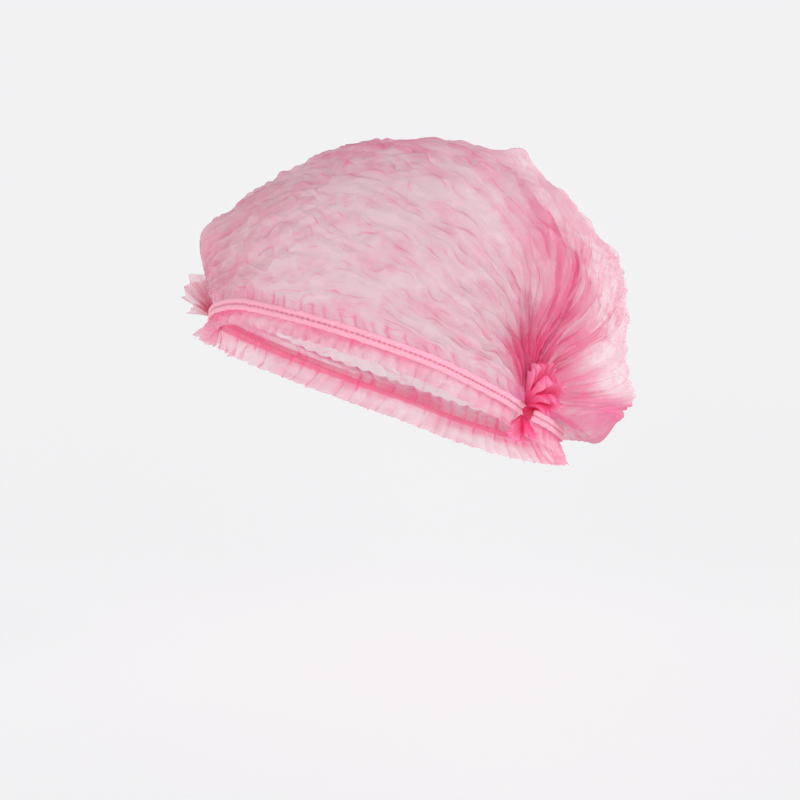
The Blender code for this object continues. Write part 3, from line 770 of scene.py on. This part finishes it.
def graded(tree, value, low, high, start=0.0, end=1.0):
    """A value that goes evenly from start at low to end at high, and stays there beyond them."""
    made = add_node(tree, "ShaderNodeMapRange", {
        "Value": value, "From Min": low, "From Max": high, "To Min": start, "To Max": end})
    return made.outputs["Result"]


def attribute(tree, name):
    """A value that is stored at the vertices."""
    return add_node(tree, "ShaderNodeAttribute", attribute_name=name).outputs["Fac"]


def noise(tree, vector, scale=1.0, detail=2.0):
    """Smooth noise about 0.5."""
    made = add_node(tree, "ShaderNodeTexNoise", {"Vector": vector, "Scale": scale, "Detail": detail})
    return made.outputs["Fac"]


def stretched(tree, uv, along, across):
    """The flat cloth's coordinates with a scale along the pleats and one across them."""
    made = add_node(tree, "ShaderNodeMapping", {"Vector": uv, "Scale": (along, across, 1.0)})
    return made.outputs["Vector"]


def mixed_colour(tree, share, first, second):
    """The first colour, with a share of the second."""
    made = add_node(tree, "ShaderNodeMix", {0: share, 6: first, 7: second}, data_type="RGBA")
    return made.outputs[2]


def cloth_tone(tree, tone, look):
    """Colour and cover of the cloth by how much of it is crowded into a place."""
    ramp = add_node(tree, "ShaderNodeValToRGB", {"Fac": tone})
    stops = ramp.color_ramp.elements
    stops[0].color = linear(look.thin)
    stops[1].color = linear(look.dense)
    stops.new(0.45).color = linear(look.middle)
    return ramp.outputs["Color"], graded(tree, tone, 0.0, 0.8, look.thin_cover, look.dense_cover)


def fold_line(tree, phase_name, show_name, width):
    """1 on the lines where a stored phase is a whole number or a half, 0 a width away."""
    part = arithmetic(tree, "FRACT", arithmetic(tree, "MULTIPLY", attribute(tree, phase_name), 2.0))
    part = arithmetic(tree, "ABSOLUTE", arithmetic(tree, "SUBTRACT", part, 0.5))
    line = graded(tree, part, 0.5 - width, 0.5)
    return arithmetic(tree, "MULTIPLY", line, attribute(tree, show_name))


def web_tone(tree, uv, look, lines):
    """How crowded the cloth looks at each place, and the height of its fine creases."""
    # Cloudy web, about 7 mm from cloud to cloud
    cloud = arithmetic(tree, "SUBTRACT", noise(tree, uv, 140.0, 3.0), 0.5)

    # Hair creases left by the pleating, 3 mm apart and 25 mm long
    hair = noise(tree, stretched(tree, uv, 40.0, 300.0), 1.0, 1.0)
    hair = arithmetic(tree, "ABSOLUTE", arithmetic(tree, "SUBTRACT", hair, 0.5))
    hair = graded(tree, hair, 0.0, 0.030, 1.0, 0.0)

    # Leaf-shaped patches, paler and denser, 12 mm across and 40 mm long
    leaf = arithmetic(tree, "SUBTRACT", noise(tree, stretched(tree, uv, 26.0, 82.0)), 0.5)

    tone = arithmetic(tree, "ADD", attribute(tree, "crowd"), look.base)
    # The dart tone is gathered cloth in the darts of the crown and frills, and painted shade in the
    # valleys of the end pleats
    for value, strength in ((leaf, 1.00), (attribute(tree, "dart_and_fold_shade"), 0.70), (cloud, 0.40), (hair, 0.06)):
        tone = arithmetic(tree, "MULTIPLY_ADD", value, strength, tone)
    height = hair
    for phase, show, width, strength in lines:
        line = fold_line(tree, phase, show, width)
        tone = arithmetic(tree, "MULTIPLY_ADD", line, strength, tone)
        height = arithmetic(tree, "ADD", height, line)
    return arithmetic(tree, "ADD", tone, 0.0, clamp=True), height


def free_cloth(tree, uv, tone, free, step, look):
    """Colour, cover and crumple of cloth that stands free, painted paler as light from both sides. step
    is how much its tone differs.
    """
    # Net of creases, cells of 12 by 8 mm with lines 0.4 mm wide
    bend = add_node(tree, "ShaderNodeTexNoise", {"Vector": uv, "Scale": 60.0, "Detail": 1.0})
    net_uv = add_node(tree, "ShaderNodeVectorMath", {
        0: bend.outputs["Color"], 1: (0.9, 0.9, 0.0), 2: stretched(tree, uv, 85.0, 130.0)},
        operation="MULTIPLY_ADD").outputs["Vector"]
    edges = add_node(tree, "ShaderNodeTexVoronoi", {"Vector": net_uv, "Scale": 1.0},
                     feature="DISTANCE_TO_EDGE")
    net = graded(tree, edges.outputs["Distance"], 0.0, 0.045, 1.0, 0.0)
    net = arithmetic(tree, "MULTIPLY", net, free)
    cells = add_node(tree, "ShaderNodeTexVoronoi", {"Vector": net_uv, "Scale": 0.33})
    crumple = arithmetic(tree, "MULTIPLY", cells.outputs["Distance"], free)
    tone = arithmetic(tree, "MULTIPLY_ADD", net, 0.27, arithmetic(tree, "ADD", tone, step), clamp=True)
    colour, cover = cloth_tone(tree, tone, look)

    # Painted highlights: short pale streaks that stand for creases catching the light, 3 mm across and
    # 12 mm long
    painted_glint = graded(tree, noise(tree, stretched(tree, uv, 80.0, 330.0), 1.0, 1.0), 0.67, 0.72)
    painted_glint = arithmetic(tree, "MULTIPLY", painted_glint, 0.60)
    colour = mixed_colour(tree, painted_glint, colour, linear(PAINTED_GLINT))
    return colour, arithmetic(tree, "MULTIPLY_ADD", painted_glint, 0.5, cover, clamp=True), crumple


def spunbond(name, look, lines=(), lit_free_look=None):
    """Spunbond polypropylene: hot-pressed filaments in a web a few hundredths of a mm thick.

    The eye sees through it, more where it is one flat layer and less in creases and gathers,
    and light from behind makes it glow. Where it stands free it is clearer and painted paler
    and pinker, as if lit from both sides, with a net of fine creases and painted highlights.
    """
    material, tree = new_material(name)
    uv = add_node(tree, "ShaderNodeUVMap", uv_map="UVMap").outputs["UV"]
    tone, height = web_tone(tree, uv, look, lines)
    colour, cover = cloth_tone(tree, tone, look)
    crumple = 0.0
    if lit_free_look:
        free = attribute(tree, "free")
        lit_free_colour, free_cover, crumple = free_cloth(tree, uv, tone, free,
                                                      lit_free_look.base - look.base, lit_free_look)
        # Painted light: where the cloth stands free it takes the paler free colours
        colour = mixed_colour(tree, free, colour, lit_free_colour)
        cover = add_node(tree, "ShaderNodeMix", {0: free, 2: cover, 3: free_cover}).outputs[0]

    # Filaments and the grid of bond points, drawn 1.6 mm apart so that they show
    bond = add_node(tree, "ShaderNodeTexVoronoi", {"Vector": uv, "Scale": 620.0, "Randomness": 0.35})
    rough = arithmetic(tree, "MULTIPLY_ADD", height, 0.9, bond.outputs["Distance"])
    rough = arithmetic(tree, "MULTIPLY_ADD", crumple, 3.5, rough)
    relief = add_node(tree, "ShaderNodeBump", {"Height": rough, "Strength": 0.45, "Distance": 0.0004})
    shader = add_node(tree, "ShaderNodeBsdfPrincipled", {
        "Base Color": colour, "Roughness": 0.28, "IOR": 1.49, "Sheen Weight": 0.15,
        "Normal": relief.outputs["Normal"]})
    glow = add_node(tree, "ShaderNodeBsdfTranslucent", {"Color": colour})
    cloth = add_node(tree, "ShaderNodeMixShader", {0: 0.55, 1: shader.outputs[0], 2: glow.outputs[0]})
    clear = add_node(tree, "ShaderNodeBsdfTransparent")
    seen = add_node(tree, "ShaderNodeMixShader", {0: cover, 1: clear.outputs[0], 2: cloth.outputs[0]})
    add_node(tree, "ShaderNodeOutputMaterial", {"Surface": seen.outputs[0]})
    return material


def covered_elastic(name, thread, shade):
    """Elastic strands covered in textured polyester: matt, with close ribs and a stitched groove."""
    material, tree = new_material(name)
    uv = add_node(tree, "ShaderNodeUVMap", uv_map="UVMap").outputs["UV"]
    split = add_node(tree, "ShaderNodeSeparateXYZ", {"Vector": uv})
    along, across = split.outputs["X"], split.outputs["Y"]

    # Ribs of the covering thread, and uneven stitches in the groove
    rib = arithmetic(tree, "SINE", arithmetic(tree, "MULTIPLY", along, math.tau / RIB_PITCH))
    drawn = arithmetic(tree, "MULTIPLY_ADD", noise(tree, uv, 160.0), 0.0035, along)
    stitch = arithmetic(tree, "SINE", arithmetic(tree, "MULTIPLY", drawn, math.tau / STITCH_PITCH))
    groove = graded(tree, arithmetic(tree, "ABSOLUTE", across), 0.10, 0.26, 1.0, 0.0)
    mark = arithmetic(tree, "MULTIPLY", graded(tree, stitch, -0.3, 0.4), groove)
    fuzz = noise(tree, uv, 900.0, 4.0)
    tone = arithmetic(tree, "MULTIPLY_ADD", fuzz, 0.7, -0.25)
    tone = arithmetic(tree, "ADD", tone, arithmetic(tree, "MULTIPLY", mark, 0.75))
    tone = arithmetic(tree, "MULTIPLY_ADD", rib, -0.06, tone, clamp=True)
    ramp = add_node(tree, "ShaderNodeValToRGB", {"Fac": tone})
    ramp.color_ramp.elements[0].color = linear(thread)
    ramp.color_ramp.elements[1].color = linear(shade)
    height = arithmetic(tree, "MULTIPLY_ADD", mark, -1.0, rib)
    height = arithmetic(tree, "MULTIPLY_ADD", fuzz, 1.5, height)
    relief = add_node(tree, "ShaderNodeBump", {"Height": height, "Strength": 0.5, "Distance": 0.0002})
    shader = add_node(tree, "ShaderNodeBsdfPrincipled", {
        "Base Color": ramp.outputs["Color"], "Roughness": 0.75, "IOR": 1.55, "Sheen Weight": 0.3,
        "Normal": relief.outputs["Normal"]})
    add_node(tree, "ShaderNodeOutputMaterial", {"Surface": shader.outputs[0]})
    return material


def pale_floor():
    """A wide floor of white paper, evenly lit."""
    bm = bmesh.new()
    bmesh.ops.create_circle(bm, cap_ends=True, segments=64, radius=FLOOR_RADIUS)
    bmesh.ops.translate(bm, verts=bm.verts, vec=(0.0, 0.0, FLOOR))
    mesh = bpy.data.meshes.new("floor")
    bm.to_mesh(mesh)
    bm.free()
    material, tree = new_material("floor_paper")
    paper = add_node(tree, "ShaderNodeBsdfDiffuse", {"Color": linear("#A9A9A9")})
    lit = add_node(tree, "ShaderNodeEmission", {"Color": linear("#F3F2F3"), "Strength": FLOOR_GLOW})
    both = add_node(tree, "ShaderNodeAddShader", {0: paper.outputs[0], 1: lit.outputs[0]})
    add_node(tree, "ShaderNodeOutputMaterial", {"Surface": both.outputs[0]})
    mesh.materials.append(material)
    floor = bpy.data.objects.new("floor", mesh)
    return floor


def soft_world():
    """Light from all round, palest at the horizon."""
    world = bpy.data.worlds.new("studio")
    world.use_nodes = True
    tree = world.node_tree
    tree.nodes.clear()
    ways = add_node(tree, "ShaderNodeTexCoord").outputs["Generated"]
    height = add_node(tree, "ShaderNodeSeparateXYZ", {"Vector": ways}).outputs["Z"]
    ramp = add_node(tree, "ShaderNodeValToRGB", {"Fac": height})
    ramp.color_ramp.elements[0].color = linear("#F3F3F5")
    ramp.color_ramp.elements[1].color = linear("#707377")
    ramp.color_ramp.elements.new(0.14).color = linear("#C6C8CC")
    sky = add_node(tree, "ShaderNodeBackground", {"Color": ramp.outputs["Color"]})
    add_node(tree, "ShaderNodeOutputWorld", {"Surface": sky.outputs[0]})
    return world


def soft_sun(sun):
    """One wide, soft lamp."""
    lamp = bpy.data.lights.new(sun.name, "SUN")
    lamp.energy = sun.power
    lamp.angle = math.radians(sun.width)
    light = bpy.data.objects.new(sun.name, lamp)
    light.rotation_euler = (math.radians(90.0 - sun.height), 0.0, math.radians(sun.azimuth))
    return light


def photo_camera(distance):
    """The camera, at the photo's angle."""
    a, e = math.radians(VIEW_AZIMUTH), math.radians(VIEW_HEIGHT)
    back = np.array([math.sin(a) * math.cos(e), -math.cos(a) * math.cos(e), math.sin(e)])
    target = np.array([math.cos(a) * VIEW_RIGHT, math.sin(a) * VIEW_RIGHT, VIEW_DROP])
    lens = bpy.data.cameras.new("camera")
    lens.lens = VIEW_LENS
    lens.sensor_width = 36.0
    lens.clip_start, lens.clip_end = 0.05, 100.0
    camera = bpy.data.objects.new("camera", lens)
    camera.location = target + back * distance
    camera.rotation_euler = (math.pi / 2.0 - e, 0.0, a)
    return camera


class ClipCapSizes(bpy.types.PropertyGroup):
    """Sizes that change the look of the cloth."""

    crease_rise: bpy.props.FloatProperty(
        name="Crease rise", description="Height of the creases, as a share of the usual",
        default=1.0, min=0.0, max=2.0, subtype="FACTOR")
    frill_wave: bpy.props.FloatProperty(
        name="Frill wave", description="How far the frill waves in and out at its hem",
        default=0.0028, unit="LENGTH")
    camera_distance: bpy.props.FloatProperty(
        name="Camera distance", description="From the camera to the middle of the view",
        default=1.2, unit="LENGTH")


class ClipCapColours(bpy.types.PropertyGroup):
    """Colours of the cloth and elastic, as sRGB hex values."""

    thin: bpy.props.StringProperty(
        name="Thin cloth", description="One flat layer that stands free", default="#FBC9D8")
    # Greyer than free cloth: painted shade of the crown where it lies near the hollow
    close: bpy.props.StringProperty(
        name="Close cloth", description="One flat layer that lies close", default="#E9CCD3")
    middle: bpy.props.StringProperty(
        name="Creased cloth", description="Cloth in creases and folds", default="#F086AC")
    dense: bpy.props.StringProperty(
        name="Dense cloth", description="Cloth crowded into gathers and welds", default="#FF7CB4")
    elastic: bpy.props.StringProperty(
        name="Elastic", description="Covering thread of the elastic", default="#FFB0C6")
    stitch: bpy.props.StringProperty(
        name="Stitches", description="Stitches between the two elastic strands", default="#EC7898")


class ClipCapCrown(bpy.types.Operator):
    """Make the creased crown"""

    bl_idname = "clip_cap.crown"
    bl_label = "Crown"

    def execute(self, context):
        colours = context.scene.clip_cap_colours
        # Painted shade and light: greyer colours where the crown lies near the hollow, paler free
        # colours where it stands free, as if lit from both sides
        look = ClothLook(colours.close, colours.middle, colours.dense, 0.66, 0.90, 0.03)
        lit_free_look = ClothLook(FREE_LIT_THIN, FREE_LIT_MIDDLE, colours.dense, 0.28, 0.90, -0.08)
        material = spunbond("crown_spunbond", look, CROWN_LINES, lit_free_look)
        places, flat, tones = crown_cloth(context.scene.clip_cap_sizes.crease_rise)
        crown = grid_piece("crown_cloth", places, flat, tones, material)
        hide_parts("crown")
        return {"FINISHED"}


class ClipCapFrills(bpy.types.Operator):
    """Make the two runs of the frill"""

    bl_idname = "clip_cap.frills"
    bl_label = "Frills"

    def execute(self, context):
        colours = context.scene.clip_cap_colours
        look = ClothLook(colours.thin, FRILL_MIDDLE, colours.dense, 0.52, 0.97, 0.15)
        material = spunbond("frill_spunbond", look)
        for part in ("front", "back"):
            places, flat, tones = frill_cloth(part, context.scene.clip_cap_sizes.frill_wave)
            frill = grid_piece(part + "_frill_cloth", places, flat, tones, material)
            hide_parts(part + "_frill")
        return {"FINISHED"}


class ClipCapElastics(bpy.types.Operator):
    """Make the two runs of the double elastic"""

    bl_idname = "clip_cap.elastics"
    bl_label = "Elastics"

    def execute(self, context):
        colours = context.scene.clip_cap_colours
        material = covered_elastic("covered_elastic", colours.elastic, colours.stitch)
        for part in ("front", "back"):
            places, flat = elastic_run(part)
            elastic = grid_piece(part + "_elastic_strands", places, flat, {}, material, closed=True)
            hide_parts(part + "_elastic")
        return {"FINISHED"}


class ClipCapEnds(bpy.types.Operator):
    """Make the two welded ends"""

    bl_idname = "clip_cap.ends"
    bl_label = "Welded ends"

    def execute(self, context):
        for name, azimuth, fans, look in (("left", LEFT_END, LEFT_FANS, LEFT_LOOK),
                                          ("right", RIGHT_END, RIGHT_FANS, RIGHT_LOOK)):
            material = spunbond(name + "_pleats_spunbond", look)
            end = add_piece(name + "_end_pleats", welded_end(azimuth, fans), material)
            end.data.set_sharp_from_angle(angle=FOLD_ANGLE)
            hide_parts(name + "_welded_end")

        return {"FINISHED"}


class ClipCapStudio(bpy.types.Operator):
    """Set the pale floor, the soft light and the camera"""

    bl_idname = "clip_cap.studio"
    bl_label = "Studio"

    def execute(self, context):
        scene = context.scene
        scene.collection.objects.link(pale_floor())
        scene.world = soft_world()
        for sun in SUNS:
            scene.collection.objects.link(soft_sun(sun))
        scene.camera = photo_camera(scene.clip_cap_sizes.camera_distance)
        scene.collection.objects.link(scene.camera)
        scene.view_settings.view_transform = "Standard"
        return {"FINISHED"}


class ClipCapPanel(bpy.types.Panel):
    """Lists the pieces of the cap"""

    bl_label = "Clip Cap"
    bl_idname = "VIEW3D_PT_clip_cap"
    bl_space_type = "VIEW_3D"
    bl_region_type = "UI"
    bl_category = "Clip Cap"

    def draw(self, context):
        for group in (context.scene.clip_cap_sizes, context.scene.clip_cap_colours):
            for name in group.bl_rna.properties.keys():
                if name not in ("rna_type", "name"):
                    self.layout.prop(group, name)
        for operator in OPERATORS:
            self.layout.operator(operator.bl_idname)


OPERATORS = (ClipCapCrown, ClipCapFrills, ClipCapElastics, ClipCapEnds, ClipCapStudio)
CLASSES = (ClipCapSizes, ClipCapColours, *OPERATORS, ClipCapPanel)


def register():
    """Add the classes and the scene's properties."""
    for cls in CLASSES:
        bpy.utils.register_class(cls)
    bpy.types.Scene.clip_cap_sizes = bpy.props.PointerProperty(type=ClipCapSizes)
    bpy.types.Scene.clip_cap_colours = bpy.props.PointerProperty(type=ClipCapColours)


def unregister():
    """Take the classes and the scene's properties away."""
    del bpy.types.Scene.clip_cap_colours
    del bpy.types.Scene.clip_cap_sizes
    for cls in reversed(CLASSES):
        bpy.utils.unregister_class(cls)


def main():
    """Make every piece and the studio."""
    register()
    bpy.ops.clip_cap.crown()
    bpy.ops.clip_cap.frills()
    bpy.ops.clip_cap.elastics()
    bpy.ops.clip_cap.ends()
    bpy.ops.clip_cap.studio()


if __name__ == "__main__":
    main()
